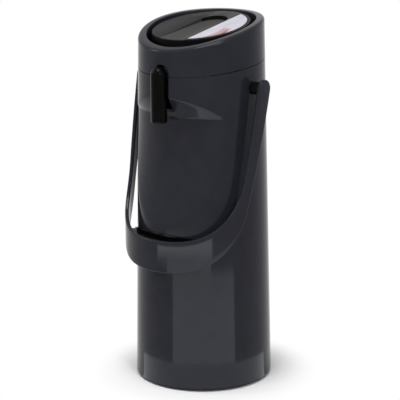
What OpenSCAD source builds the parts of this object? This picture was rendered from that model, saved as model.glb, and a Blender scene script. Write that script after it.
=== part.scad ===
// Pump vacuum jug with a flip-up head, a press button and a hanging bail handle.
// Origin: centre of the foot ring's underside. +Z is up, the spout faces -Y.

/* [Body] */
// Outer diameter of the jug where it stands
foot_d = 144; // [138:1:150]
// Outer diameter at the top of the head
top_d = 128.4; // [124:0.2:132]
// Height of the head's rim at the back
total_h = 381; // [376:1:390]
// Wall of the moulded casing and head
wall = 2.5; // [2:0.1:3]
// Radius of the casing's bottom edge
foot_round = 2; // [0.5:0.25:3]
// How far the rubber foot holds the casing off the table
foot_gap = 1.5; // [0.8:0.1:2.5]

/* [Seam and rim] */
// Height of the seam between casing and head, on the axis
seam_h = 333.6; // [331:0.2:336]
// Tilt of the seam, higher at the back
seam_tilt = 7.1; // [5:0.1:8]
// Width of the seam's shadow line
seam_gap = 0.6; // [0.4:0.1:1]
// Radius of the arc that the rim follows in side view
rim_arc_r = 400; // [380:5:450]
// How far behind the axis the rim's arc is highest
rim_arc_back = 87.6; // [80:0.2:95]
// Inner radius of the well in the head
well_r = 56; // [55:0.1:57]

/* [Front recess] */
// Depth of the recess at the front, at its top
recess_depth = 12; // [9:0.5:13]
// Height of the line where the recess wall meets its sloping ceiling
recess_h = 284.5; // [280:0.5:290]
// Height where the recess runs out at the front
recess_low = 173; // [165:1:185]
// Radius of the recess wall in plan
recess_r = 92; // [88:1:96]
// Steepness of the ceiling, rise over run
recess_rise = 1.75; // [1.2:0.05:2]

/* [Spout] */
// Outer diameter of the spout cover
spout_d = 16.5; // [15:0.1:17]
// Distance of the spout from the jug's axis
spout_reach = 68.2; // [67:0.1:69]
// Height of the spout's lower end
spout_low = 279.5; // [276:0.5:284]
// Height of the spout's domed top
spout_top = 335.8; // [334:0.1:336]
// Width of the slot around the spout
slot_w = 19.2; // [18.4:0.1:20]
// Height of the duct that feeds the spout
duct_h = 313.5; // [312.5:0.1:314]
// Outer diameter of the duct
duct_d = 10.4; // [9:0.1:10.8]
// Bore of the duct, the nozzle and the riser tube
duct_bore = 6; // [5:0.1:6.4]

/* [Vacuum liner] */
// Outer diameter of the glass liner
liner_d = 114; // [110:1:115]
// Wall of each glass
glass = 1.5; // [1.2:0.1:2]
// Gap between the two glasses
vacuum_gap = 3; // [2:0.1:4]
// Height of the liner's mouth
mouth_h = 292; // [290:0.5:293]
// Outer diameter of the liner's neck
mouth_d = 67; // [64:1:69]
// Height where the shoulder starts
shoulder_h = 172; // [165:1:176]
// Height of the liner's underside
liner_low = 17; // [16:0.5:19]

/* [Pump] */
// Stroke of the press button
stroke = 22; // [18:1:22]
// Radius of the button
button_r = 50.6; // [49.5:0.1:50.9]
// Height of the button's top at its front edge
button_front = 361; // [359:0.5:362]
// Slope of the button's top, higher at the back
button_tilt = 10.3; // [8:0.1:10.6]
// Wall of the button's skirt
skirt_wall = 2.2; // [1.8:0.1:2.6]
// Width of the thumb scoop
scoop_w = 31; // [28:0.5:34]
// Depth of the scoop at its rear end
scoop_depth = 3.6; // [2:0.1:4]
// Outer radius of the bellows
bellows_r = 44; // [40:0.5:46]
// Radius of the return spring's coil
spring_r = 16; // [14:0.5:18]
// Radius of the spring wire
wire_r = 0.9; // [0.7:0.1:1.1]

/* [Hinge] */
// Radius of the hinge knuckles
knuckle_r = 5; // [4.4:0.1:5.4]
// Radius of the hinge pin
hinge_pin_r = 1.8; // [1.5:0.1:2.2]
// Height of the hinge axis
hinge_h = 341; // [340:0.2:342]
// Distance of the hinge axis behind the jug's axis
hinge_back = 69.5; // [69:0.1:70.5]
// Length of the hinge
hinge_len = 42; // [36:1:48]

/* [Handle] */
// Outer radius of the bail about the jug's axis
bail_r = 81.5; // [80.5:0.1:83]
// Thickness of the bail's strap
bail_t = 4; // [3:0.1:4.6]
// Height of the bail's pivots
pivot_h = 312; // [311:0.5:313]
// Half width of the strap at the pivots
arm_half = 9.4; // [8.5:0.1:10]
// Radius of the pivot pins
pivot_pin_r = 3; // [2.5:0.1:3.5]
// Radius of the pivot bushes
bush_r = 6.5; // [6:0.1:7]
// Height of the drip tray's grille
tray_h = 158.5; // [157:0.5:159]
// Half angle of the drip tray, seen from above
tray_half_angle = 50; // [44:1:52]
// Width of the slots in the grille
grille_slot = 1.8; // [1.4:0.1:2.2]

/* [Hidden] */
$fn = 128;

// Clearances that several pieces share
seat = 0.15;     // between pieces of one body that seat in each other
free = 0.5;      // between pieces that move past each other
run = 0.05;      // radial clearance of a pin in its bore
big = 200;       // larger than the jug in plan

// Radius of the tapered body at height z
function body_r(z) = foot_d / 2 + (top_d - foot_d) / 2 * z / total_h;

// Points on an arc from angle a to angle b
function arc(cx, cz, r, a, b, n) =
    [for (i = [0 : n]) let (t = a + (b - a) * i / n) [cx + r * cos(t), cz + r * sin(t)]];

// Points on a cubic curve between two ends with two pulls
function curve(p, q, s, t, n) =
    [for (i = [0 : n]) let (u = i / n, v = 1 - u)
        v * v * v * p + 3 * v * v * u * q + 3 * v * u * u * s + u * u * u * t];

// Tapered outer form of casing and head, set in by a wall
module body_form(inset, low = foot_gap) {
    top = total_h + 20;
    r = foot_round;
    rotate_extrude()
        polygon(concat(
            [[0, low]],
            inset == 0
                ? arc(body_r(low) - r, low + r, r, -90, 0, 6)
                : [[body_r(low) - inset, low]],
            [[body_r(top) - inset, top], [0, top]]));
}

// Everything above the tilted seam, moved up by dz
module above_seam(dz) {
    translate([0, 0, seam_h + dz])
        rotate([seam_tilt, 0, 0])
            translate([-big, -big, 0])
                cube([2 * big, 2 * big, big]);
}

// Everything under the rim's arc, lowered by dz
rim_arc_z = total_h - sqrt(pow(rim_arc_r, 2) - pow(rim_arc_back - top_d / 2, 2));
module below_rim(dz) {
    translate([-big, rim_arc_back, rim_arc_z])
        rotate([0, 90, 0])
            cylinder(r = rim_arc_r - dz, h = 2 * big, $fn = 360);
}

// Front recess: a ring about an axis behind the jug, grown by g into the body
recess_back = recess_r + recess_depth - body_r(recess_h);
recess_drop = recess_h - recess_low;
recess_flare = body_r(recess_low) + recess_back - recess_r;
function recess_wall(z) = recess_r + recess_flare * pow((recess_h - z) / recess_drop, 2);
module recess(g) {
    out = 60;
    low = recess_low - 6;
    steps = 14;
    translate([0, recess_back, 0])
        rotate_extrude($fn = 256)
            polygon(concat(
                [for (i = [0 : steps]) let (z = low + (recess_h - low) * i / steps)
                    [recess_wall(z) - g, z]],
                [[recess_r - g, recess_h + 0.5 * g],
                 [recess_r + out - g, recess_h + 0.5 * g + out * recess_rise],
                 [recess_r + out, low]]));
}

// Slot in the casing's front that the spout drops into
module spout_slot() {
    slot_low = recess_h + 8;
    translate([-slot_w / 2, -foot_d, slot_low])
        cube([slot_w, foot_d - duct_root, total_h - slot_low]);
}
duct_root = body_r(duct_h) - wall - 3;

// Bayonet ledge inside the casing's foot and the base plate's lugs above it
ledge_low = 16.3;
ledge_t = 3.2;
ledge_r = 65;
lug_count = 3;
lug_angle = 30;
notch_in = 0.4;     // how far the notches cut into the casing's wall
module lug_sectors(angle, turn) {
    for (i = [0 : lug_count - 1])
        rotate([0, 0, turn + i * 360 / lug_count - angle / 2])
            rotate_extrude(angle = angle)
                children();
}

// Ledge that the neck funnel stands on
funnel_low = 309;
funnel_ledge = 58.5;

module hinge_knuckle(x0, x1, r) {
    translate([x0, hinge_back, hinge_h])
        rotate([0, 90, 0])
            cylinder(r = r, h = x1 - x0);
}
knuckle_side = 13;   // length of each outer knuckle
knuckle_split = hinge_len / 2 - knuckle_side;
web_drop = 22;       // how far the knuckles' webs reach down and up

module outer_casing() {
    color([0.19, 0.19, 0.21])
    difference() {
        union() {
            difference() {
                union() {
                    difference() {
                        body_form(0);
                        recess(0);
                        difference() {
                            body_form(wall, foot_gap - 1);
                            recess(wall);
                        }
                    }
                    // bayonet ledge at the foot
                    difference() {
                        rotate_extrude()
                            translate([ledge_r, ledge_low])
                                square([body_r(ledge_low) - ledge_r - wall / 2, ledge_t]);
                        lug_sectors(lug_angle + 6, 60)
                            translate([ledge_r - 1, ledge_low - 1])
                                square([body_r(ledge_low) - ledge_r - wall + 1 + notch_in,
                                        ledge_t + 2]);
                    }
                    // ledge under the neck funnel
                    difference() {
                        rotate_extrude()
                            polygon([[funnel_ledge, funnel_low],
                                     [body_r(funnel_low) - wall / 2, funnel_low - 7],
                                     [body_r(funnel_low) - wall / 2, funnel_low]]);
                        recess(0);
                    }
                }
                spout_slot();
                above_seam(-seam_gap / 2);
            }
            // outer knuckles of the head's hinge with their webs
            for (s = [-1, 1])
                intersection() {
                    union() {
                        hinge_knuckle(-hinge_len / 2, hinge_len / 2, knuckle_r);
                        translate([-hinge_len / 2, 0, 0])
                            rotate([90, 0, 90])
                                linear_extrude(hinge_len)
                                    polygon([[hinge_back + knuckle_r, hinge_h],
                                             [body_r(hinge_h - web_drop) - wall / 2,
                                              hinge_h - web_drop],
                                             [body_r(hinge_h) - wall, hinge_h - 6],
                                             [hinge_back - knuckle_r, hinge_h]]);
                    }
                    translate([s > 0 ? knuckle_split + free / 2 : -big, 0, 0])
                        cube([big - (s > 0 ? 0 : knuckle_split + free / 2), big, 2 * big]);
                }
        }
        // relief for the head's knuckle, bore for the pin
        hinge_knuckle(-knuckle_split - free / 2, knuckle_split + free / 2, knuckle_r + free);
        hinge_knuckle(-hinge_len, hinge_len, hinge_pin_r);
        // seats of the pivot bushes
        for (s = [-1, 1])
            translate([s * body_r(pivot_h), 0, pivot_h])
                rotate([0, 90, 0])
                    cylinder(r = bush_neck_r, h = 20, center = true);
    }
}

// Neck funnel: carries the riser head and presses on the liner's mouth seal
funnel_rim = 9;
trough_start = 40;
funnel_r = body_r(funnel_low + funnel_rim) - wall - 2 * seat;
funnel_seat_h = 295;
funnel_t = 2.4;
funnel_seat_r = 36.5;
funnel_hole_r = 29;
module neck_funnel() {
    trough_r = duct_d / 2 + free + 1.6;
    color([0.14, 0.14, 0.15])
    difference() {
        union() {
            rotate_extrude()
                polygon([[funnel_hole_r, funnel_seat_h],
                         [funnel_seat_r, funnel_seat_h],
                         [funnel_ledge - 1, funnel_low - funnel_t + 0.6],
                         [funnel_ledge - 1, funnel_low],
                         [funnel_r, funnel_low],
                         [funnel_r, funnel_low + funnel_rim],
                         [funnel_r - 2, funnel_low + funnel_rim],
                         [funnel_r - 2, funnel_low + funnel_t],
                         [funnel_ledge - 2, funnel_low + funnel_t],
                         [funnel_seat_r, funnel_seat_h + funnel_t],
                         [funnel_hole_r, funnel_seat_h + funnel_t]]);
            // trough that the spout's duct lies in
            intersection() {
                translate([0, 0, duct_h])
                    rotate([90, 0, 0])
                        cylinder(r = trough_r, h = funnel_r);
                translate([-big, -big, 0])
                    cube([2 * big, big - trough_start, duct_h]);
                cylinder(r = funnel_r, h = big * 2);
            }
        }
        translate([0, 10 - trough_start, duct_h])
            rotate([90, 0, 0])
                cylinder(r = duct_d / 2 + free, h = funnel_r);
        translate([-duct_d / 2 - free, 10 - trough_start - funnel_r, duct_h])
            cube([duct_d + 2 * free, funnel_r, big]);
        // room for the spout cover
        translate([-slot_w / 2, -big, funnel_seat_h])
            cube([slot_w, big - spout_reach + spout_d / 2 + free, big]);
    }
}

// Rubber ring between the liner's mouth and the funnel
module mouth_seal() {
    color([0.55, 0.55, 0.52])
    difference() {
        translate([0, 0, mouth_h])
            cylinder(r = mouth_d / 2 + 1.5, h = funnel_seat_h - mouth_h);
        translate([0, 0, mouth_h - 1])
            cylinder(r = funnel_hole_r, h = big);
    }
}

neck_len = 14;      // straight part of the liner's neck
// Outline of a bottle: flat bottom with a rounded edge, straight wall, rounded shoulder and neck
function bottle(r, low, neck, bend, top) = concat(
    [[0, low]],
    arc(r - bend, low + bend, bend, -90, 0, 8),
    [for (i = [1 : 12]) let (t = i * 90 / 12)
        [neck + (r - neck) * cos(t), shoulder_h + (mouth_h - neck_len - shoulder_h) * sin(t)]],
    [[neck, top], [0, top]]);

module bottle_form(inset, top) {
    rotate_extrude()
        polygon(bottle(liner_d / 2 - inset, liner_low + inset, mouth_d / 2 - inset,
            24 - inset / 2, top));
}

// Inner glass, which holds the drink
module liner_inner() {
    skin = glass + vacuum_gap;
    color([0.80, 0.84, 0.86])
    difference() {
        bottle_form(skin, mouth_h);
        bottle_form(skin + glass, mouth_h + 5);
    }
}

// Outer glass with the lip that closes the vacuum and the sealed tip below
module liner_outer() {
    lip = 3;
    neck_in = mouth_d / 2 - glass - vacuum_gap;
    color([0.78, 0.80, 0.80])
    union() {
        difference() {
            bottle_form(0, mouth_h);
            difference() {
                bottle_form(glass, mouth_h + 5);
                rotate_extrude()
                    polygon([[neck_in, mouth_h - lip], [mouth_d / 2, mouth_h - lip],
                             [mouth_d / 2, mouth_h + 6], [neck_in, mouth_h + 6]]);
            }
            cylinder(r = neck_in, h = 2 * big);
        }
        rotate_extrude()
            polygon([[0, liner_low - tip_len], [1.2, liner_low - tip_len + 0.6],
                     [3.2, liner_low + glass / 2], [neck_in, liner_low + glass / 2],
                     [neck_in + 1, liner_low + glass], [0, liner_low + glass]]);
    }
}
tip_len = 7;

// Rubber cup that carries the liner on the base plate
floor_t = 2.5;
module liner_cushion() {
    top = liner_low + 9;
    bend = 24;
    color([0.12, 0.12, 0.12])
    rotate_extrude()
        polygon(concat(
            [[tip_len + 2, foot_gap + floor_t + 1], [48, foot_gap + floor_t + 1], [52, top],
             [liner_d / 2 - bend + sqrt(pow(bend + seat, 2) - pow(bend - 9, 2)), top]],
            [for (i = [1 : 6]) let (t = -asin((bend - 9) / (bend + seat)) * (1 - i / 6) - 90 * i / 6)
                [liner_d / 2 - bend + (bend + seat) * cos(t), liner_low + bend + (bend + seat) * sin(t)]],
            [[tip_len + 2, liner_low - seat]]));
}

// Base plate, held in the casing by a bayonet
module base_plate() {
    low = foot_gap + 1;
    floor_r = body_r(low) - wall - 2 * seat;
    ring_r = ledge_r - free;
    color([0.14, 0.14, 0.15])
    union() {
        difference() {
            translate([0, 0, low])
                cylinder(r = floor_r, h = floor_t);
            // groove for the rubber foot ring
            translate([0, 0, low - 1])
                rotate_extrude()
                    translate([foot_ring_r - foot_ring_w, 0])
                        square([foot_ring_w, 1 + foot_groove]);
        }
        rotate_extrude()
            translate([ring_r - 2.5, low + floor_t / 2])
                square([2.5, ledge_low + ledge_t + 4 - low - floor_t / 2]);
        lug_sectors(lug_angle, 0)
            translate([ring_r - 1, ledge_low + ledge_t + seat])
                square([body_r(ledge_low) - wall - 2 * free - ring_r + 1, 3.4]);
    }
}

// Rubber ring that the jug stands on
foot_ring_r = 64;
foot_ring_w = 5;
foot_groove = 1;
module foot_ring() {
    color([0.09, 0.09, 0.09])
    rotate_extrude()
        translate([foot_ring_r - foot_ring_w + seat, 0])
            square([foot_ring_w - 2 * seat, foot_gap + 1 + foot_groove]);
}

// Riser tube from the liner's bottom to the riser head
riser_low = liner_low + 9;
riser_wall = 1.2;
riser_socket_h = 290;
module riser_tube() {
    color([0.75, 0.75, 0.75])
    difference() {
        translate([0, 0, riser_low])
            cylinder(d = duct_bore + 2 * riser_wall, h = riser_socket_h + 6 - riser_low);
        translate([0, 0, riser_low - 1])
            cylinder(d = duct_bore, h = big * 2);
        // notch that keeps the inlet open on the bottom
        translate([-big, -1.5, riser_low - 1])
            cube([2 * big, 3, 5]);
    }
}

// Riser head: flange on the funnel, collar for the pump's air, duct to the spout
flange_h = funnel_seat_h + funnel_t;
flange_t = 2.5;
collar_r = 26;
collar_t = 2.5;
pan_low = 321.5;    // underside of the pan in the head
pan_t = 2.5;
seal_gap = 3.5;     // between the collar's top and the pan
collar_top = pan_low - seal_gap;
module riser_head() {
    socket_r = duct_bore / 2 + riser_wall + 2;
    end_y = spout_reach - 3;
    color([0.10, 0.10, 0.11])
    difference() {
        union() {
            translate([0, 0, flange_h])
                cylinder(r = funnel_seat_r - 1.5, h = flange_t);
            translate([0, 0, flange_h - 3])
                difference() {
                    cylinder(r = funnel_hole_r - free, h = 4);
                    translate([0, 0, -1])
                        cylinder(r = funnel_hole_r - free - 2, h = 6);
                }
            difference() {
                translate([0, 0, flange_h])
                    cylinder(r = collar_r, h = collar_top - flange_h);
                translate([0, 0, flange_h + flange_t])
                    cylinder(r = collar_r - collar_t, h = big);
            }
            translate([0, 0, riser_socket_h])
                cylinder(r = socket_r, h = duct_h - riser_socket_h);
            translate([0, 0, duct_h])
                sphere(d = duct_d);
            translate([0, 0, duct_h])
                rotate([90, 0, 0])
                    cylinder(d = duct_d, h = end_y);
        }
        translate([0, 0, riser_socket_h - 1])
            cylinder(d = duct_bore + 2 * riser_wall + 2 * run, h = 7);
        translate([0, 0, riser_socket_h])
            cylinder(d = duct_bore, h = duct_h - riser_socket_h);
        translate([0, duct_bore / 2, duct_h])
            rotate([90, 0, 0])
                cylinder(d = duct_bore, h = big);
        // seat of the spout nozzle at the duct's end
        translate([0, -spout_reach, 0])
            cylinder(r = nozzle_r + seat, h = big * 2);
        // the duct is flat where the head's seal lies on it
        translate([0, 0, collar_top])
            cylinder(r = seal_out + free, h = duct_d);
        // holes that let the pump's air into the liner
        for (a = [30 : 60 : 330])
            rotate([0, 0, a])
                translate([(collar_r + socket_r) / 2 + 1, 0, flange_h - 1])
                    cylinder(r = 3, h = 6);
    }
}

// Nozzle that turns the drink down inside the spout cover
nozzle_r = spout_d / 2 - 2.2;
module spout_nozzle() {
    color([0.16, 0.16, 0.17])
    difference() {
        union() {
            translate([0, -spout_reach, spout_low + 1.5])
                cylinder(r = nozzle_r, h = duct_h - spout_low - 1.5);
            translate([0, -spout_reach, duct_h])
                sphere(r = nozzle_r);
        }
        translate([0, -spout_reach, spout_low])
            cylinder(d = duct_bore, h = duct_h - spout_low);
        translate([0, -spout_reach, duct_h])
            sphere(d = duct_bore);
        translate([0, 0, duct_h])
            rotate([90, 0, 0])
                cylinder(d = duct_bore, h = spout_reach);
    }
}

// Glossy cover of the spout: a domed tube, open below and at the duct
module spout_cover() {
    r = spout_d / 2;
    dome_h = spout_top - r;
    inner = nozzle_r + seat;
    lip = 1.6;
    color([0.03, 0.03, 0.03])
    difference() {
        union() {
            translate([0, -spout_reach, 0])
                rotate_extrude()
                    polygon(concat([[0, spout_low]],
                        arc(r - lip, spout_low + lip, lip, -90, 0, 6),
                        [[r, dome_h], [0, dome_h]]));
            translate([0, -spout_reach, dome_h])
                sphere(r = r);
        }
        translate([0, -spout_reach, spout_low - 1])
            cylinder(r = inner, h = duct_h - spout_low + 1);
        translate([0, -spout_reach, duct_h])
            sphere(r = inner);
        translate([0, 0, duct_h])
            rotate([90, 0, 0])
                cylinder(d = duct_d + 2 * seat, h = spout_reach);
    }
}

// Bushes on the casing that the bail turns on
bush_end = sqrt(pow(bail_r - bail_t, 2) - pow(bush_r, 2)) - 0.3;
bush_neck_r = bush_r - 1.5;
module pivot_bushes() {
    root = body_r(pivot_h) - wall;
    color([0.19, 0.19, 0.21])
    for (s = [-1, 1])
        mirror([s < 0 ? 1 : 0, 0, 0])
            difference() {
                union() {
                    translate([root, 0, pivot_h])
                        rotate([0, 90, 0])
                            cylinder(r = bush_neck_r - run, h = bush_end - root - 1);
                    difference() {
                        translate([root + 1, 0, pivot_h])
                            rotate([0, 90, 0])
                                cylinder(r = bush_r, h = bush_end - root - 1);
                        body_form(-seat);
                    }
                }
                translate([bush_end - 9, 0, pivot_h])
                    rotate([0, 90, 0])
                        cylinder(r = pivot_pin_r + run, h = 20);
            }
}

// Head: tapered wall, rim, well and the ledge that guides the button
ledge_top = seam_h + (well_r + wall) * tan(seam_tilt) + seam_gap + wall;
guide_r = button_r + 0.7;
guide_t = 2.2;
guide_low = 328;
boss_r = 3.2;
boss_reach = well_r + boss_r - 0.2;
screw_angles = [45, 135, 225, 315];
pan_r = well_r;
module head_shell() {
    color([0.20, 0.20, 0.22])
    difference() {
        union() {
            intersection() {
                difference() {
                    body_form(0);
                    // hollow between the outer wall and the well
                    difference() {
                        intersection() {
                            body_form(wall);
                            below_rim(wall);
                        }
                        cylinder(r = well_r + wall - 0.3, h = 2 * big);
                    }
                    translate([0, 0, ledge_top])
                        cylinder(r = well_r, h = big);
                    cylinder(r = guide_r, h = 2 * big);
                    // under the ledge only the guide stays
                    difference() {
                        cylinder(r = well_r + wall, h = ledge_top - wall);
                        cylinder(r = guide_r + guide_t, h = 2 * big);
                    }
                    cylinder(r = well_r + wall, h = guide_low);
                }
                union() {
                    above_seam(seam_gap / 2);
                    translate([0, 0, guide_low])
                        cylinder(r = guide_r + guide_t + 0.01, h = big);
                }
                below_rim(0);
            }
            // screw bosses under the ledge
            for (a = screw_angles)
                rotate([0, 0, a])
                    translate([boss_reach, 0, pan_low + pan_t])
                        cylinder(r = boss_r, h = ledge_top - pan_low - pan_t - 0.5);
            // middle knuckle of the hinge with its web
            intersection() {
                union() {
                    hinge_knuckle(-knuckle_split, knuckle_split, knuckle_r);
                    translate([-knuckle_split, 0, 0])
                        rotate([90, 0, 90])
                            linear_extrude(2 * knuckle_split)
                                polygon([[hinge_back + knuckle_r, hinge_h],
                                         [hinge_back - knuckle_r, hinge_h],
                                         [body_r(hinge_h) - wall, hinge_h + 3],
                                         [body_r(hinge_h) - wall / 2, hinge_h + web_drop - 2]]);
                }
                translate([-big, body_r(hinge_h) - wall, 0])
                    cube([2 * big, big, 2 * big]);
            }
        }
        // arch over the spout
        translate([0, -well_r - wall, arch_h])
            rotate([90, 0, 0])
                cylinder(d = slot_w, h = big);
        translate([-slot_w / 2, -big, pan_low])
            cube([slot_w, big - well_r - wall, arch_h - pan_low]);
        // relief for the casing's knuckles, bore for the pin
        for (s = [-1, 1])
            hinge_knuckle(s > 0 ? knuckle_split : -big / 2, s > 0 ? big / 2 : -knuckle_split,
                knuckle_r + free);
        hinge_knuckle(-hinge_len, hinge_len, hinge_pin_r + run);
        // pilot holes of the screws
        for (a = screw_angles)
            rotate([0, 0, a])
                translate([boss_reach, 0, pan_low])
                    cylinder(r = screw_r, h = pan_t + screw_len);
    }
}
arch_h = spout_top - spout_d / 2 - 0.5 + (slot_w - spout_d) / 4;
screw_r = 1.5;
screw_len = 9;

// Pan that closes the head below and carries the bellows
module head_pan() {
    color([0.12, 0.12, 0.13])
    difference() {
        union() {
            translate([0, 0, pan_low])
                cylinder(r = pan_r, h = pan_t);
            difference() {
                translate([0, 0, pan_low])
                    cylinder(r = pan_r, h = 12);
                translate([0, 0, pan_low - 1])
                    cylinder(r = guide_r + guide_t + 0.3, h = 20);
            }
            for (a = screw_angles)
                rotate([0, 0, a])
                    translate([boss_reach, 0, pan_low])
                        cylinder(r = boss_r + 0.2, h = pan_t);
        }
        for (a = screw_angles)
            rotate([0, 0, a]) {
                translate([boss_reach, 0, pan_low - 1])
                    cylinder(r = screw_r + 0.2, h = pan_t + 2);
                // the bosses of the head stand here
                translate([boss_reach, 0, pan_low + pan_t])
                    cylinder(r = boss_r + 0.2, h = 20);
            }
        // air holes and the seat of the outlet valve
        cylinder(r = valve_stem_r + run, h = 2 * big);
        for (a = [0 : 60 : 300])
            rotate([0, 0, a])
                translate([8, 0, pan_low - 1])
                    cylinder(r = 1.6, h = pan_t + 2);
        // groove of the seal
        rotate_extrude()
            translate([seal_in, pan_low - 1])
                square([seal_out - seal_in, 1 + seal_groove]);
    }
}

module head_screws() {
    color([0.65, 0.65, 0.66])
    for (a = screw_angles)
        rotate([0, 0, a])
            translate([boss_reach, 0, pan_low]) {
                translate([0, 0, -1.4])
                    cylinder(r = 2.8, h = 1.4);
                cylinder(r = screw_r - 0.02, h = pan_t + screw_len - 0.5);
            }
}

// Seal that the head presses on the riser head's collar
seal_in = collar_r - 4;
seal_out = collar_r + 2;
seal_groove = 1;
module head_seal() {
    color([0.55, 0.55, 0.52])
    rotate_extrude()
        polygon([[seal_in + seat, pan_low + seal_groove],
                 [seal_in + seat, collar_top + 1],
                 [collar_r - 3, collar_top],
                 [collar_r, collar_top],
                 [seal_out - seat, collar_top + 1],
                 [seal_out - seat, pan_low + seal_groove]]);
}

// Rubber mushroom that lets air out of the bellows and not back
valve_stem_r = 1.6;
module outlet_valve() {
    color([0.60, 0.60, 0.56])
    rotate_extrude()
        polygon([[0, pan_low - 1.4], [4, pan_low - 1.4], [11, pan_low - 0.6], [11, pan_low],
                 [valve_stem_r, pan_low], [valve_stem_r, pan_low + pan_t],
                 [2.6, pan_low + pan_t], [0.6, pan_low + pan_t + 4], [0, pan_low + pan_t + 4]]);
}

// Bellows between the pan and the plunger plate
pan_top = pan_low + pan_t;
plate_t = 2.5;
plate_h = button_front - 4.5;
bellows_fold = 6;
bellows_in = bellows_r - bellows_fold - 3;
module bellows() {
    folds = 5;
    skin = 0.9;
    depth = bellows_fold;
    flange = 1.2;
    pitch = (plate_h - pan_top - 2 * flange) / folds;
    outer = [for (i = [0 : 2 * folds])
        [bellows_r - (i % 2 == 0 ? depth : 0), pan_top + flange + i * pitch / 2]];
    inner = [for (i = [0 : 2 * folds]) let (k = 2 * folds - i)
        [bellows_r - skin - (k % 2 == 0 ? depth : 0), pan_top + flange + k * pitch / 2]];
    color([0.10, 0.10, 0.10])
    rotate_extrude()
        polygon(concat(
            [[bellows_in, pan_top], [bellows_r - 1, pan_top],
             [bellows_r - 1, pan_top + flange - 0.3]],
            outer,
            [[bellows_r - 1, plate_h - flange + 0.3], [bellows_r - 1, plate_h],
             [bellows_in, plate_h], [bellows_in, plate_h - flange]],
            inner,
            [[bellows_in, pan_top + flange]]));
}

// Return spring: one unbroken helix between the pan and the plate
spring_turns = 4.5;
module return_spring() {
    steps = 16;
    sides = 6;
    rise = plate_h - pan_top - 2 * wire_r;
    n = spring_turns * steps;
    points = [for (i = [0 : n]) let (a = 360 * spring_turns * i / n,
            z = pan_top + wire_r + rise * i / n)
        for (j = [0 : sides - 1]) let (b = 360 * j / sides + 30)
            [(spring_r + wire_r * cos(b)) * cos(a), (spring_r + wire_r * cos(b)) * sin(a),
             z + wire_r * sin(b)]];
    faces = concat(
        [[for (j = [0 : sides - 1]) j]],
        [for (i = [0 : n - 1]) for (j = [0 : sides - 1]) let (k = (j + 1) % sides)
            [i * sides + j, (i + 1) * sides + j, (i + 1) * sides + k, i * sides + k]],
        [[for (j = [sides - 1 : -1 : 0]) n * sides + j]]);
    color([0.72, 0.72, 0.72])
    polyhedron(points, faces, convexity = 10);
}

module hinge_pin() {
    color([0.70, 0.70, 0.70])
    hinge_knuckle(-hinge_len / 2, hinge_len / 2, hinge_pin_r - 0.02);
}

// Tilted top of the button, moved by dz along its own slope's normal
module below_button(dz) {
    translate([0, -button_r, button_front])
        rotate([button_tilt, 0, 0])
            translate([-big, -big, -big - dz])
                cube([2 * big, 2 * big, big]);
}

// Thumb scoop: a ramp with straight sides and a round rear end
scoop_back = 18;
module scoop() {
    run_in = scoop_back + scoop_w / 2 + button_r;
    translate([0, -button_r, button_front])
        rotate([button_tilt - atan(scoop_depth / run_in), 0, 0])
            linear_extrude(20)
                union() {
                    translate([-scoop_w / 2, -10])
                        square([scoop_w, button_r + scoop_back + 10]);
                    translate([0, button_r + scoop_back])
                        circle(d = scoop_w);
                }
}

// Press button: sloping top with its scoop, skirt and posts
skirt_low = pan_top + stroke + 1;
post_angles = [45, 135, 225, 315];
plunger_head_r = 2.4;
post_reach = bellows_in - plunger_head_r - 2 * free;
module pump_button() {
    top_t = 2.4;
    color([0.17, 0.17, 0.17])
    difference() {
        union() {
            difference() {
                intersection() {
                    translate([0, 0, skirt_low])
                        cylinder(r = button_r, h = big);
                    below_button(0);
                }
                difference() {
                    intersection() {
                        translate([0, 0, skirt_low - 1])
                            cylinder(r = button_r - skirt_wall, h = big);
                        below_button(top_t);
                    }
                    // floor under the scoop
                    translate([0, 0, -top_t])
                        scoop();
                }
            }
            intersection() {
                for (a = post_angles)
                    rotate([0, 0, a])
                        translate([post_reach, 0, plate_h + plate_t])
                            cylinder(r = 3.5, h = big);
                below_button(top_t / 2);
            }
        }
        scoop();
        for (a = post_angles)
            rotate([0, 0, a])
                translate([post_reach, 0, plate_h + plate_t - 1])
                    cylinder(r = 1.2, h = 4.2);
    }
}

// Plate under the button that the bellows and the spring push on
module plunger_plate() {
    color([0.14, 0.14, 0.15])
    difference() {
        translate([0, 0, plate_h])
            cylinder(r = button_r - skirt_wall - seat, h = plate_t);
        translate([0, 0, plate_h - 1])
            cylinder(r = valve_stem_r + run, h = 10);
        for (a = [0 : 60 : 300])
            rotate([0, 0, a])
                translate([6, 0, plate_h - 1])
                    cylinder(r = 1.2, h = 10);
        for (a = post_angles)
            rotate([0, 0, a])
                translate([post_reach, 0, plate_h - 1])
                    cylinder(r = 1.4, h = 10);
    }
}

module plunger_screws() {
    color([0.65, 0.65, 0.66])
    for (a = post_angles)
        rotate([0, 0, a])
            translate([post_reach, 0, plate_h]) {
                translate([0, 0, -1.2])
                    cylinder(r = plunger_head_r, h = 1.2);
                cylinder(r = 1.18, h = plate_t + 3);
            }
}

// Flap that lets air into the bellows on the way up
module inlet_valve() {
    color([0.60, 0.60, 0.56])
    rotate_extrude()
        polygon([[0, plate_h - 1.2], [4, plate_h - 1.2], [9, plate_h - 0.5], [9, plate_h],
                 [valve_stem_r, plate_h], [valve_stem_r, plate_h + plate_t],
                 [2.6, plate_h + plate_t], [1, plate_h + plate_t + 1.5], [0, plate_h + plate_t + 1.5]]);
}

// Bail in side view: y forward, straight arms that sweep into the front band
band_top = 160.3;
band_low = 127.2;
module bail_side() {
    lean = 11.6;     // forward lean of the arm's front edge
    end = bail_r + 3;
    front = curve([27.5, pivot_h - 90], [33.9, pivot_h - 122], [59.5, band_top + 1.7],
        [end, band_top], 16);
    back = curve([end, band_low], [55, band_low + 3.8], [31, pivot_h - 146], [25, pivot_h - 124], 16);
    polygon(concat(front, back, arc(0, pivot_h, arm_half, lean + 180, lean, 16)));
}

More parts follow.
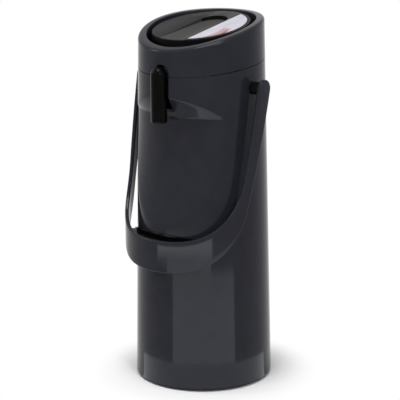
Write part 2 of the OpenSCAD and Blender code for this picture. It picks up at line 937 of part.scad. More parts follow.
module handle_bail() {
    color([0.19, 0.19, 0.21])
    difference() {
        intersection() {
            difference() {
                translate([0, 0, band_low - 5])
                    cylinder(r = bail_r, h = pivot_h + 20 - band_low);
                cylinder(r = bail_r - bail_t, h = 2 * big);
            }
            rotate([90, 0, -90])
                linear_extrude(2 * big, center = true)
                    bail_side();
        }
        // blind holes of the pivot pins
        translate([0, 0, pivot_h])
            rotate([0, 90, 0])
                cylinder(r = pivot_pin_r, h = 2 * (bail_r - bail_t / 2), center = true);
    }
}

module pivot_pins() {
    color([0.70, 0.70, 0.70])
    for (s = [-1, 1])
        mirror([s < 0 ? 1 : 0, 0, 0])
            translate([bush_end - 8, 0, pivot_h])
                rotate([0, 90, 0])
                    cylinder(r = pivot_pin_r, h = bail_r - bail_t / 2 - bush_end + 8);
}

// Drip tray inside the front band: a curved trough under a slotted grille
tray_deep = 12;
tray_out = bail_r - bail_t - seat;
tray_in = body_r(tray_h - tray_deep) + 0.6;
tray_t = 1.2;
tray_ledge = 0.6;   // ledge that the grille lies on at the outer wall
grille_t = 1.6;
module tray_sector(half) {
    rotate([0, 0, -90 - half])
        rotate_extrude(angle = 2 * half)
            children();
}

module drip_tray() {
    low = tray_h - tray_deep;
    color([0.05, 0.05, 0.05])
    difference() {
        tray_sector(tray_half_angle)
            translate([tray_in, low])
                square([tray_out - tray_in, tray_deep]);
        tray_sector(tray_half_angle - 1)
            translate([tray_in + tray_t, low + tray_t])
                square([tray_out - tray_in - 2 * tray_t - tray_ledge, tray_deep]);
        tray_sector(tray_half_angle + 1)
            translate([tray_in - 1, tray_h - grille_t - seat])
                square([tray_out - tray_in - tray_t + 1, grille_t + 1]);
    }
}

module drip_grille() {
    pitch = 3.4;
    count = floor((tray_half_angle - 3) / pitch);
    color([0.04, 0.04, 0.04])
    difference() {
        tray_sector(tray_half_angle)
            translate([tray_in, tray_h - grille_t])
                square([tray_out - tray_t - seat - tray_in, grille_t]);
        for (i = [-count : count])
            rotate([0, 0, i * pitch])
                translate([-grille_slot / 2, -tray_out + 2.4, tray_h - grille_t - 1])
                    cube([grille_slot, tray_out - tray_in - 4, grille_t + 2]);
    }
}

outer_casing();
neck_funnel();
mouth_seal();
liner_inner();
liner_outer();
liner_cushion();
base_plate();
foot_ring();
riser_tube();
riser_head();
spout_nozzle();
spout_cover();
pivot_bushes();
head_shell();
head_pan();
head_screws();
head_seal();
outlet_valve();
bellows();
return_spring();
hinge_pin();
pump_button();
plunger_plate();
plunger_screws();
inlet_valve();
handle_bail();
pivot_pins();
drip_tray();
drip_grille();
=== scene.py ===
# Looks of the pump vacuum jug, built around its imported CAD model.
from math import asin, atan2, cos, pi, radians, sin, sqrt, tan

import bmesh
import bpy
from mathutils import Matrix, Vector


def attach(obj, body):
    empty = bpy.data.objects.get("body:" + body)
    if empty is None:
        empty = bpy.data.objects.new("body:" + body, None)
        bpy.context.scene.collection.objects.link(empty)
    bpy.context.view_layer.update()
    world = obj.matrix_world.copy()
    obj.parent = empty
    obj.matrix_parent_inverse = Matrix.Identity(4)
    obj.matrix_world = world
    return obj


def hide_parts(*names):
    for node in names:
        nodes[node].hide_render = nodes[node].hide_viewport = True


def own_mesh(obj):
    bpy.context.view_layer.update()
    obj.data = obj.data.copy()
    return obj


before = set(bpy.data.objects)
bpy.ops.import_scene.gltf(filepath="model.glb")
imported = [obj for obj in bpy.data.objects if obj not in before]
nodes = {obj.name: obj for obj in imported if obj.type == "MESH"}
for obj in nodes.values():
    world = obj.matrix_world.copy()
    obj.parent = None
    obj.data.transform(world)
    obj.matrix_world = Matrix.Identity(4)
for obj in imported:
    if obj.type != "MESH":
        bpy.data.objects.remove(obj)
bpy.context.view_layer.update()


# Stage: a plain pale floor that reads as white away from the jug and keeps
# its shadow, for the camera and in reflections alike. The camera stands where
# the photograph was taken from, a little above the jug's middle.
class Shade:
    """One socket of a shader tree, with the usual operators."""

    def __init__(self, tree, socket):
        self.tree, self.socket = tree, socket

    def node(self, kind, settings=None, **values):
        made = self.tree.nodes.new(kind)
        for name, value in (settings or {}).items():
            setattr(made, name, value)
        for name, value in values.items():
            numbered = name[0] == "i" and name[1:].isdigit()
            socket = made.inputs[int(name[1:]) if numbered else name.replace("_", " ")]
            if isinstance(value, Shade):
                self.tree.links.new(value.socket, socket)
            else:
                socket.default_value = value
        return made

    def out(self, made, which=0):
        return Shade(self.tree, made.outputs[which])

    def maths(self, operation, *values):
        inputs = {f"i{i}": v for i, v in enumerate(values)}
        return self.out(self.node("ShaderNodeMath", {"operation": operation}, **inputs))

    def __add__(self, other):
        return self.maths("ADD", self, other)

    __radd__ = __add__

    def __sub__(self, other):
        return self.maths("SUBTRACT", self, other)

    def __rsub__(self, other):
        return self.maths("SUBTRACT", other, self)

    def __mul__(self, other):
        return self.maths("MULTIPLY", self, other)

    __rmul__ = __mul__

    def clamp(self, low, high):
        return self.maths("MINIMUM", self.maths("MAXIMUM", self, low), high)

    def smooth(self, low, high):
        """0 below low, 1 above high, and soft between."""
        return self.out(self.node("ShaderNodeMapRange", {"interpolation_type": "SMOOTHSTEP"},
                                  Value=self, From_Min=low, From_Max=high))

    def between(self, low, high, soft):
        return self.smooth(low - soft, low + soft) * (1 - self.smooth(high - soft, high + soft))

    def noise(self, scale, detail=2.0, rough=0.5):
        return self.out(self.node("ShaderNodeTexNoise", Vector=self, Scale=scale,
                                  Detail=detail, Roughness=rough))

    def split(self):
        made = self.node("ShaderNodeSeparateXYZ", Vector=self)
        return [self.out(made, i) for i in range(3)]

    def mix(self, dark, light):
        made = self.node("ShaderNodeMix", {"data_type": "RGBA"}, i0=self)
        for socket, value in ((made.inputs[6], dark), (made.inputs[7], light)):
            if isinstance(value, Shade):
                self.tree.links.new(value.socket, socket)
            else:
                socket.default_value = tuple(value) + (1,) * (4 - len(value))
        return self.out(made, 2)


def new_tree(material):
    material.use_nodes = True
    tree = material.node_tree
    coordinates = tree.nodes.new("ShaderNodeTexCoord")
    return tree, Shade(tree, coordinates.outputs["Object"])


def sees_white(tree):
    """1 for rays from the eye, from a gloss and through glass."""
    path = tree.nodes.new("ShaderNodeLightPath")
    kinds = [Shade(tree, path.outputs[name]) for name in
             ("Is Camera Ray", "Is Glossy Ray", "Is Transmission Ray")]
    return (kinds[0] + kinds[1] + kinds[2]).clamp(0.0, 1.0)


world = bpy.data.worlds.new("studio")
bpy.context.scene.world = world
world.use_nodes = True
tree = world.node_tree
tree.links.new(sees_white(tree).mix((0.28, 0.28, 0.29), (1, 1, 1)).socket,
               tree.nodes["Background"].inputs["Color"])

floor_half = 6
floor_mesh = bpy.data.meshes.new("floor")
floor_mesh.from_pydata([(-floor_half, -floor_half, 0), (floor_half, -floor_half, 0),
                        (floor_half, floor_half, 0), (-floor_half, floor_half, 0)],
                       [], [(0, 1, 2, 3)])
floor = bpy.data.objects.new("floor", floor_mesh)
bpy.context.scene.collection.objects.link(floor)
floor_paint = bpy.data.materials.new("floor_paint")
floor_mesh.materials.append(floor_paint)
tree, place = new_tree(floor_paint)
x, y, z = place.split()
reach = x.maths("SQRT", x * x + y * y)
shadow_from, shadow_to = 0.065, 0.125
lit = place.node("ShaderNodeBsdfDiffuse", Color=(0.94, 0.94, 0.94, 1))
white = place.node("ShaderNodeEmission", Color=(1, 1, 1, 1), Strength=1.0)
far = place.node("ShaderNodeMixShader",
                 Fac=reach.smooth(shadow_from, shadow_to) * sees_white(tree))
tree.links.new(lit.outputs[0], far.inputs[1])
tree.links.new(white.outputs[0], far.inputs[2])
tree.nodes.remove(tree.nodes["Principled BSDF"])
tree.links.new(far.outputs[0], tree.nodes["Material Output"].inputs["Surface"])

# how far the eye stands to the right of the spout and above, in radians
turn, lift, roll = 0.6807, 0.2417, -0.0080
aim_height, distance, aside = 0.1865, 1.584, -0.0028
focal_pixels, picture_pixels, film = 1511.8, 400, 36
side = Vector((cos(turn), sin(turn), 0))
away = Vector((sin(turn) * cos(lift), -cos(turn) * cos(lift), sin(lift)))
camera = bpy.data.objects.new("camera", bpy.data.cameras.new("camera"))
bpy.context.scene.collection.objects.link(camera)
camera.data.lens = focal_pixels / picture_pixels * film
camera.data.sensor_width = film
camera.data.clip_start, camera.data.clip_end = 0.05, 50
camera.location = Vector((0, 0, aim_height)) + away * distance + side * aside
axes = Matrix((side, away.cross(side), away)).transposed()
camera.rotation_euler = (axes @ Matrix.Rotation(roll, 3, "Z")).to_euler()
bpy.context.scene.camera = camera
bpy.context.scene.view_settings.view_transform = "Standard"

lamp_aim = Vector((0, 0, 0.2))
for name, spot, size, power in (
        ("sky_panel", (0.15, -0.45, 1.9), (0.8, 0.8), 21),
        ("window_left", (-1.5, -0.9, 1.2), (0.4, 0.7), 5),
        ("window_right", (1.6, -0.9, 1.2), (0.5, 0.8), 10)):
    lamp = bpy.data.lights.new(name, "AREA")
    lamp.shape, lamp.size, lamp.size_y, lamp.energy = "ELLIPSE", size[0], size[1], power
    holder = bpy.data.objects.new(name, lamp)
    bpy.context.scene.collection.objects.link(holder)
    holder.location = spot
    holder.rotation_euler = (lamp_aim - Vector(spot)).to_track_quat("-Z", "Y").to_euler()

# Three light cards lie on the floor in front, and only gloss shows them. Each
# is the field that a wall of that radius mirrors between two of its angles.
card_steps = 24
for name, wall, first, last, near, far, strength in (
        ("foot_card", 0.071, -62, 62, 0.006, 0.088, 2.8),
        ("low_card", 0.070, -27, 27, 0.090, 0.500, 3.9),
        ("far_card", 0.0815, -35, 6.6, 0.512, 0.675, 7.0)):
    points, faces = [], []
    for i in range(card_steps + 1):
        a = radians(first + (last - first) * i / card_steps)
        for reach in (near, far):
            ahead = wall * cos(a) + reach * cos(2 * a)
            right = wall * sin(a) + reach * sin(2 * a)
            points.append((sin(turn) * ahead + cos(turn) * right,
                           -cos(turn) * ahead + sin(turn) * right, 0.001))
        if i:
            faces.append((2 * i - 2, 2 * i - 1, 2 * i + 1, 2 * i))
    card_mesh = bpy.data.meshes.new(name)
    card_mesh.from_pydata(points, [], faces)
    card = bpy.data.objects.new(name, card_mesh)
    bpy.context.scene.collection.objects.link(card)
    glow = bpy.data.materials.new(name)
    card_mesh.materials.append(glow)
    tree, place = new_tree(glow)
    lamp = place.node("ShaderNodeEmission", Color=(0.92, 0.96, 1, 1), Strength=strength)
    tree.nodes.remove(tree.nodes["Principled BSDF"])
    tree.links.new(lamp.outputs[0], tree.nodes["Material Output"].inputs["Surface"])
    card.visible_camera = card.visible_diffuse = card.visible_shadow = False


# Inner pieces that show when the head is up or from below: dark food-grade
# plastic, silvered glass, rubber and stainless steel, all as the CAD has them.
def finish_of(name, dark, light, rough, grain=900.0, spread=0.03, bump=0.02,
              depth=0.00005, metal=0.0, shine=0.5, mottle=60.0, more=None):
    """A moulded, rubbed or drawn surface: slight colour drift, fine grain, soft wear."""
    material = bpy.data.materials.new(name)
    tree, place = new_tree(material)
    shader = tree.nodes["Principled BSDF"]
    drift = place.noise(mottle, 3.0)
    fine = place.noise(grain, 2.0, 0.6)
    colour = drift.smooth(0.3, 0.7).mix(dark, light)
    roughness = drift * spread + fine * spread + (rough - spread)
    if more:
        colour, roughness = more(place, colour, roughness)
    tree.links.new(colour.socket, shader.inputs["Base Color"])
    tree.links.new(roughness.clamp(0.02, 1.0).socket, shader.inputs["Roughness"])
    bumped = place.node("ShaderNodeBump", Strength=bump, Distance=depth, Height=fine)
    tree.links.new(bumped.outputs[0], shader.inputs["Normal"])
    shader.inputs["Metallic"].default_value = metal
    shader.inputs["Specular IOR Level"].default_value = shine
    return material


def put(material, *names):
    """Gives carried-over CAD nodes their finish."""
    for name in names:
        mesh = nodes[name].data
        mesh.materials.clear()
        mesh.materials.append(material)
        for face in mesh.polygons:
            face.material_index = 0


put(finish_of("inner_plastic", (0.018, 0.018, 0.02), (0.028, 0.028, 0.03), 0.42),
    "neck_funnel", "base_plate", "riser_head", "spout_nozzle", "head_pan", "plunger_plate")
put(finish_of("silvered_glass", (0.72, 0.75, 0.77), (0.80, 0.83, 0.85), 0.09, metal=1.0,
              spread=0.02, bump=0.01), "liner_inner", "liner_outer")
put(finish_of("seal_rubber", (0.30, 0.30, 0.27), (0.38, 0.38, 0.35), 0.62),
    "mouth_seal", "head_seal", "outlet_valve", "inlet_valve")
put(finish_of("foot_rubber", (0.012, 0.012, 0.012), (0.02, 0.02, 0.02), 0.7, bump=0.2),
    "liner_cushion", "foot_ring", "bellows")
put(finish_of("steel", (0.50, 0.50, 0.49), (0.58, 0.58, 0.57), 0.25, metal=1.0),
    "riser_tube", "head_screws", "return_spring", "hinge_pin", "plunger_screws", "pivot_pins")
for name in ("bellows", "return_spring"):
    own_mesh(nodes[name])


# Casing: one moulding of glossy anthracite plastic, a tapered tube with the
# cup recess and the spout's slot in front and two hinge knuckles behind. It is
# polished in the mould, so its grain is very fine. Its pivot bushes are near-black.
height, foot_r, taper = 381, 72, 7.8
recess_top, recess_run, recess_r, recess_swell = 284.5, 111.5, 92, 14.28
recess_axis, recess_half, ceiling_slope = 37.82, 39.96, 1.75
hinge_y, hinge_z, knuckle_r, knuckle_room = 69.5, 341, 5, 5.5
seam_tilt = tan(radians(7.1))


def body_r(z):
    return foot_r - taper * z / height


def soft_min(a, b, k):
    h = max(k - abs(a - b), 0) / k
    return min(a, b) - h * h * k / 4


def relief(r, t, z, x_low, x_high):
    """Keeps a wall clear of the hinge knuckles between two widths."""
    if cos(t) < 0 and x_low < abs(r * sin(t)) < x_high and abs(z - hinge_z) < knuckle_room:
        return min(r, (hinge_y - sqrt(knuckle_room ** 2 - (z - hinge_z) ** 2)) / -cos(t))
    return r


def casing_r(t, z):
    wall = recess_r + (recess_swell * ((recess_top - z) / recess_run) ** 2 if z < recess_top
                       else (z - recess_top) / ceiling_slope)
    cut = -recess_axis * cos(t) + sqrt((recess_axis * cos(t)) ** 2 - recess_axis ** 2 + wall ** 2)
    return relief(soft_min(body_r(z), cut, 0.7), t, z, -1, 8.25)


def mesh_of(name, points, faces, sharp=35.0):
    """A closed mesh from points in millimetres, with soft and sharp edges."""
    mesh = bpy.data.meshes.new(name)
    mesh.from_pydata([(a / 1000, b / 1000, c / 1000) for a, b, c in points], [], faces)
    work = bmesh.new()
    work.from_mesh(mesh)
    bmesh.ops.remove_doubles(work, verts=work.verts, dist=2e-7)
    bmesh.ops.recalc_face_normals(work, faces=work.faces)
    work.to_mesh(mesh)
    work.free()
    mesh.polygons.foreach_set("use_smooth", [True] * len(mesh.polygons))
    mesh.set_sharp_from_angle(angle=radians(sharp))
    return mesh


def piece(name, body, material, slot, points, faces, stands_for=(), bevel=0, sharp=35.0):
    """A new piece in the shared frame that rides on its body."""
    mesh = mesh_of(name, points, faces, sharp)
    made = bpy.data.objects.new(name, mesh)
    bpy.context.scene.collection.objects.link(made)
    mesh.materials.append(material)
    if bevel:
        edge = made.modifiers.new("edges", "BEVEL")
        edge.width, edge.segments, edge.limit_method = bevel / 1000, 2, "ANGLE"
        edge.angle_limit = radians(50)
    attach(made, body)
    if stands_for:
        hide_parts(*stands_for)
    return made


def loft(rings, wrap=False):
    """Joins closed rings of points in a row; open rows get flat ends."""
    n = len(rings[0])
    points = [p for ring in rings for p in ring]
    faces = [(i * n + j, i * n + (j + 1) % n, (i + 1) % len(rings) * n + (j + 1) % n,
              (i + 1) % len(rings) * n + j)
             for i in range(len(rings) - (0 if wrap else 1)) for j in range(n)]
    if not wrap:
        faces += [tuple(range(n)), tuple(range(len(points) - n, len(points)))]
    return points, faces


def joined(*parts):
    points, faces = [], []
    for p, f in parts:
        faces += [tuple(i + len(points) for i in face) for face in f]
        points += p
    return points, faces


def knuckle(x0, x1, web, up):
    """A hinge knuckle along x with its web, ends slightly rounded."""
    turns = [radians(a) for a in range(-30, 211, 10)]
    outline = [(hinge_y + knuckle_r * cos(a), hinge_z + up * knuckle_r * sin(a))
               for a in turns] + web
    middle = (68, hinge_z)
    rings = []
    for x, inset in ((x0, 0.4), (x0 + 0.12, 0.12), (x0 + 0.4, 0), (x1 - 0.4, 0),
                     (x1 - 0.12, 0.12), (x1, 0.4)):
        keep = 1 - inset / 6
        rings.append([(x, middle[0] + (a - middle[0]) * keep, middle[1] + (b - middle[1]) * keep)
                      for a, b in outline])
    return loft(rings)


# The columns are set by width over the recess and by a share of the turn
# behind it; the levels by height, and above the last by a share of the way
# up to the tilted seam.
slot_half, slot_low, straight_top, seam_z, skin = 9.6, 292.4, 310, 333.3, 2.5
half = [0, 2.2, 4.4, 6.4, 8.2] + [slot_half + 1.32 * i for i in range(24)]
columns = [("x", v) for v in half] + [("f", 0.0082 * i) for i in range(1, 38)]
columns += [("f", 0.3034 + (0.93 - 0.3034) * i / 19) for i in range(1, 20)]
columns += [("f", v) for v in (0.943, 0.947, 0.965, 0.983, 1)]
columns = [(kind, v, 1) for kind, v in columns] + \
    [(kind, v, -1) for kind, v in reversed(columns) if v not in (0, 1)]
levels = [1.5, 1.65, 2.1, 2.8, 3.6] + [5 + 165 * i / 18 for i in range(19)]
levels += [170 + 114.5 * i / 92 for i in range(1, 93)]
levels += [recess_top + 8 * i / 7 for i in range(1, 8)]
levels += [292.5 + 17.5 * i / 14 for i in range(1, 15)]
levels = [(z, 0) for z in levels] + [(straight_top, i / 13) for i in range(1, 14)]


def casing_point(column, level, inset):
    """Where a column crosses a level on the skin that lies inset deep."""
    kind, value, sign = column
    z, share = level
    t, edge = 0.0, 0.7
    for _ in range(7):
        h = z + share * (seam_z - (casing_r(t, z) - inset) * cos(t) * seam_tilt - straight_top) \
            if share else z
        r = casing_r(t, h) - inset
        if inset == 0 and h < 3.5:
            r -= 2 - sqrt(max(0, 4 - (3.5 - h) ** 2))
        if kind == "x":
            t = asin(value / r)
        else:
            edge = asin(min(0.99, recess_half / (casing_r(edge, h) - inset)))
            t = edge + value * (pi - edge)
    return sign * r * sin(t), -r * cos(t), h


skins = [[casing_point(c, level, inset) for level in levels for c in columns]
         for inset in (0, skin)]
n, count = len(columns), len(skins[0])
quads = []
for i in range(len(levels) - 1):
    for j in range(n):
        k = (j + 1) % n
        in_slot = levels[i][0] > slot_low and all(
            columns[c][0] == "x" and columns[c][1] < slot_half + 0.1 for c in (j, k))
        if not in_slot:
            quads.append((i * n + j, i * n + k, (i + 1) * n + k, (i + 1) * n + j))
used = {pair: True for quad in quads for pair in zip(quad, quad[1:] + quad[:1])}
rims = [(b, a, a + count, b + count) for a, b in used if (b, a) not in used]
walls = (skins[0] + skins[1],
         quads + [tuple(v + count for v in reversed(quad)) for quad in quads] + rims)
web = [(62.6, 335), (64.3, 319)]
anthracite = finish_of("anthracite", (0.0180, 0.0187, 0.0255), (0.0205, 0.0213, 0.0285), 0.10,
                       grain=2400.0, spread=0.02, bump=0.008, shine=0.10)
piece("casing", "pot", anthracite, "casing_plastic",
      *joined(walls, knuckle(-21, -8.25, web, 1), knuckle(8.25, 21, web, 1)),
      stands_for=("outer_casing",), bevel=0.35)
put(finish_of("bush_black", (0.003, 0.003, 0.003), (0.006, 0.006, 0.006), 0.12, shine=0.1),
    "pivot_bushes")


# Head: one moulding of the same plastic, a tapered wall that turns over a
# broad satin rim into a round well, with the button's guide inside, an arch
# over the spout and the middle hinge knuckle. It turns on the steel pin.
rim_arc_r, rim_arc_y, rim_arc_z = 400, 87.6, -18.315
well_r, well_floor, guide_r, guide_low = 56, 344, 51.3, 328
screw_ring, boss_r = 59, 3.2


def rim_z(r, t):
    return rim_arc_z + sqrt(rim_arc_r ** 2 - (-r * cos(t) - rim_arc_y) ** 2)


def head_ring(t, arch):
    """Closed outline of the head's section at angle t from the front."""
    def low(r):
        return max(seam_z + 0.6 - r * cos(t) * seam_tilt, arch)

    def wall(z):
        return relief(body_r(z), t, z, 8, 21.4)
    foot = low(65.2)
    top = rim_z(61.3, t) - 3
    ring = [(wall(foot) - 0.4, foot), (wall(foot) - 0.1, foot + 0.1)]
    ring += [(wall(foot + 0.4 + (top - foot - 0.4) * s), foot + 0.4 + (top - foot - 0.4) * s)
             for s in (0, 0.02, 0.05, 0.09, 0.2, 0.4, 0.6, 0.8, 1)]
    centre = body_r(top) - 3
    for a in range(10, 91, 10):
        r = centre + 3 * cos(radians(a))
        ring.append((r, rim_z(r, t) - 3 + 3 * sin(radians(a))))
    ring += [(r, rim_z(r, t)) for r in (60, 58.4)]
    lip = well_r + 1
    rim = rim_z(lip, t) - 1
    ring += [(lip - sin(radians(a)), rim + cos(radians(a))) for a in range(0, 91, 18)]
    ring += [(well_r, well_floor + 0.3 + (rim - well_floor - 0.3) * s) for s in (0.7, 0.4, 0.1, 0)]
    ring += [(well_r - 0.3, well_floor), (guide_r + 0.5, well_floor),
             (guide_r + 0.15, well_floor - 0.15), (guide_r, well_floor - 0.5),
             (guide_r, guide_low + 0.3), (guide_r + 0.3, guide_low), (guide_r + 1.9, guide_low),
             (guide_r + 2.2, guide_low + 0.3), (guide_r + 2.2, well_floor - 2.5),
             (58.5, well_floor - 2.5)]
    under = rim_z(58.5, t) - 2.5
    ring += [(58.5, under), (wall(under) - skin, under)]
    foot_in = low(62.7)
    ring += [(wall(under + (foot_in - under) * s) - skin, under + (foot_in - under) * s)
             for s in (0.5, 0.9, 1)]
    return [(r * sin(t), -r * cos(t), z) for r, z in ring]


rings = []
for a in range(-90, 91, 6):
    x = slot_half * sin(radians(a))
    rings.append(head_ring(asin(x / 65.2), 327.7 + sqrt(max(0, slot_half ** 2 - x * x))))
edge = asin(9.62 / 65.2)
angles = [edge + (2.80 - edge) * (i / 62) for i in range(63)]
angles += [pi - asin(x / 65) for x in (21.6, 21.2, 15, 11, 8.2, 7.9, 4)] + [pi]
angles += [2 * pi - t for t in reversed(angles[:-1])]
rings += [head_ring(t, 0) for t in angles]
bosses = []
quarters = (45, 135, 225, 315)
for a in quarters:
    turns = [radians(b) for b in range(0, 360, 15)]
    cx, cy = screw_ring * cos(radians(a)), screw_ring * sin(radians(a))
    bosses.append(loft([[(cx + r * cos(b), cy + r * sin(b), z) for b in turns]
                        for z, r in ((324, boss_r - 0.3), (324.3, boss_r), (343, boss_r))]))
web = [(62.7, 344), (63.9, 361)]
satin = finish_of("anthracite_satin", (0.0175, 0.0186, 0.0255), (0.0200, 0.0212, 0.0285), 0.16,
                  grain=1800.0, spread=0.03, bump=0.01, shine=0.10)
piece("head", "head", satin, "head_plastic",
      *joined(loft(rings, wrap=True), knuckle(-7.9, 7.9, web, -1), *bosses),
      stands_for=("head_shell",))


# Button: a moulded cap of matt dark plastic, sloping down to the front, with
# a thumb scoop that runs in from its front edge. It slides in the head's guide
# on four posts. A printed label is let into its right-hand part.
button_r, button_flat, button_front = 50.6, 49.4, 361
button_slope, scoop_slope = tan(radians(10.3)), tan(radians(7.849))
scoop_r, scoop_back, skirt_low, skirt_in = 15.5, 18, 347, 48.4
post_ring, post_r = 31.6, 3.5


def button_top(y):
    return button_front + (y + button_r) * button_slope


def scoop_floor(y):
    return button_front + (y + button_r) * scoop_slope


def scoop_row(off, share):
    """One line along the scoop's edge, from its front left to its front right."""
    r = scoop_r + off
    start = -sqrt(button_flat ** 2 - r * r)
    flat = [(-r, start + (scoop_back - start) * s) for s in (0, 0.05, 0.2, 0.4, 0.6, 0.8)]
    turns = [(r * cos(radians(a)), scoop_back + r * sin(radians(a))) for a in range(180, -1, -6)]
    line = flat + turns + [(-x, y) for x, y in reversed(flat)]
    row = []
    for x, y in line:
        depth = button_top(y) - scoop_floor(y)
        f = min(0.45, depth / 2)
        drop = {0: 0, 1: 0.3 * f, 2: f, 3: depth - f, 4: depth - 0.3 * f, 5: depth}[share]
        row.append((x, y, button_top(y) - drop))
    return row


rows = [scoop_row(off, i) for i, off in enumerate((0.45, 0.14, 0, 0, -0.14, -0.45))]
m = len(rows[0])
points = [p for row in rows for p in row]
faces = [(i * m + j, i * m + j + 1, (i + 1) * m + j + 1, (i + 1) * m + j)
         for i in range(5) for j in range(m - 1)]


def rim_arc(start, end, steps):
    """Points of the button's top edge between two of its points."""
    a, b = atan2(start[1], start[0]), atan2(end[1], end[0])
    b += 2 * pi if b <= a else 0
    turns = [a + (b - a) * i / steps for i in range(1, steps)]
    return [(button_flat * cos(turn), button_flat * sin(turn)) for turn in turns]


wide = [len(points) + i for i in range(140)]
points += [(x, y, button_top(y)) for x, y in rim_arc(rows[0][-1], rows[0][0], 141)]
faces.append(tuple(range(m)) + tuple(wide))
narrow = [len(points) + i for i in range(20)]
points += [(x, y, scoop_floor(y)) for x, y in rim_arc(rows[5][0], rows[5][-1], 21)]
faces.append(tuple(range(5 * m, 6 * m)) + tuple(reversed(narrow)))
edge = [i * m for i in range(6)] + narrow + [i * m + m - 1 for i in range(5, -1, -1)] + wide
shoulder = [(0.04, 49.7), (0.18, 50.05), (0.42, 50.35), (0.8, 50.54), (1.2, button_r)]
skirt = [(skirt_low + 0.3, button_r), (skirt_low, button_r - 0.3), (skirt_low, skirt_in + 0.3),
         (skirt_low + 0.3, skirt_in)]
ring = edge
for drop, flat, r in [(d, None, r) for d, r in shoulder] + [(0, z, r) for z, r in skirt]:
    fresh = []
    for v in edge:
        x, y, z = points[v]
        keep = r / sqrt(x * x + y * y)
        fresh.append(len(points))
        points.append((x * keep, y * keep, flat or z + (y * keep - y) * button_slope - drop))
    faces += [(ring[j], fresh[j], fresh[(j + 1) % len(edge)], ring[(j + 1) % len(edge)])
              for j in range(len(edge))]
    ring = fresh
fresh = [len(points) + i for i in range(len(edge))]
points += [(points[v][0], points[v][1], scoop_floor(points[v][1]) - 2.2) for v in ring]
faces += [(ring[j], fresh[j], fresh[(j + 1) % len(edge)], ring[(j + 1) % len(edge)])
          for j in range(len(edge))]
faces.append(tuple(fresh))
posts = []
for a in quarters:
    cx, cy = post_ring * cos(radians(a)), post_ring * sin(radians(a))
    turns = [radians(b) for b in range(0, 360, 15)]
    posts.append(loft([[(cx + r * cos(b), cy + r * sin(b), z) for b in turns]
                       for z, r in ((359, post_r - 0.3), (359.3, post_r),
                                    (scoop_floor(cy) - 1.5, post_r))]))


def scoop_painted_light_and_shade(place, colour, roughness):
    """Painted light and shade: a lighter, slightly warmer band down the middle for the scoop
    floor, a painted shadow on the step behind it and painted shade on the sides.
    """
    x, y, z = place.split()
    # Painted light: where x is under about 15.5 mm either side, the colour is lighter, standing
    # for the scoop floor that faces the light.
    beside = x.maths("ABSOLUTE", x).smooth(0.0152, 0.0158)
    painted_lit_floor = beside.mix((0.048, 0.047, 0.045), colour)
    # Painted shadow: a near-black arc on the scoop's back wall, where it lies in shade.
    back = y - 0.018
    out = x.maths("SQRT", x * x + back * back)
    step = out.between(0.0137, 0.0158, 0.0001) * back.smooth(0.0, 0.003)
    # Painted shade: from 50.1 mm out, the button's rounded edge and skirt are near-black, as if in
    # the well's shadow.
    edge = x.maths("SQRT", x * x + y * y).smooth(0.0501, 0.0504)
    dark = (step + edge).clamp(0.0, 1.0)
    return dark.mix(painted_lit_floor, (0.004, 0.004, 0.004)), roughness


# The button's finish carries the painted light on the scoop floor and the painted shade on the
# scoop's step and the button's sides.
button_shaded_finish = finish_of("button_plastic", (0.021, 0.021, 0.022), (0.025, 0.025, 0.026), 0.42,
                          grain=1400.0, spread=0.05, bump=0.05, shine=0.02, more=scoop_painted_light_and_shade)
piece("button", "button", button_shaded_finish, "button_plastic",
      *joined((points, faces), *posts), stands_for=("pump_button",))


label_r, label_left, label_steps = 46.6, 17.2, 40


def label_ring(lift_up):
    """The label's outline, a slice of a disc, at a height over the button."""
    a = atan2(-sqrt(label_r ** 2 - label_left ** 2), label_left)
    turns = [a + (-2 * a) * i / label_steps for i in range(label_steps + 1)]
    return [(label_r * cos(t), label_r * sin(t), button_top(label_r * sin(t)) + lift_up)
            for t in turns]


def label_print(place, colour, roughness):
    """Pale ground with soft waves of colour."""
    x, y, z = place.split()
    wave = y.maths("SINE", y * 90) * 0.0035
    warm = (x + wave).between(0.0300, 0.0400, 0.0008) * (1 - y.smooth(-0.008, 0.002))
    deep = (x + wave * 2).between(0.0335, 0.0365, 0.0006) * (1 - y.smooth(-0.014, -0.004))
    cool = (x - wave).between(0.0260, 0.0278, 0.0005) * y.smooth(-0.002, 0.006)
    tinted = (warm * 0.6).mix(colour, (0.40, 0.13, 0.14))
    tinted = (deep * 0.7).mix(tinted, (0.20, 0.05, 0.06))
    return (cool * 0.4).mix(tinted, (0.33, 0.34, 0.46)), roughness


label = finish_of("label_print", (0.50, 0.49, 0.55), (0.55, 0.54, 0.60), 0.4, shine=0.02,
                  more=label_print)
piece("label", "button", label, "button_plastic",
      *loft([label_ring(-0.3), label_ring(0.05), label_ring(0.12)]))


# Bail: a flat moulded strap of the casing's plastic, bent round the jug, with
# straight arms that hang from the two pivots and sweep into the front band.
# All its edges are rounded, and thin lines of light run along them.
bail_r, strap, pivot_z, eye_r = 81.5, 4, 312, 9.4


def cubic(p, q, s, e):
    """A curve drawn by four points, as 201 points."""
    line = []
    for i in range(201):
        u = i / 200
        line.append(tuple((1 - u) ** 3 * a + 3 * (1 - u) ** 2 * u * b + 3 * (1 - u) * u * u * c
                          + u ** 3 * d for a, b, c, d in zip(p, q, s, e)))
    return line


def height_at(line, y):
    """The curve's height where it passes y."""
    for (y0, z0), (y1, z1) in zip(line, line[1:]):
        if y <= y1:
            return z0 + (z1 - z0) * (y - y0) / (y1 - y0)
    return line[-1][1]


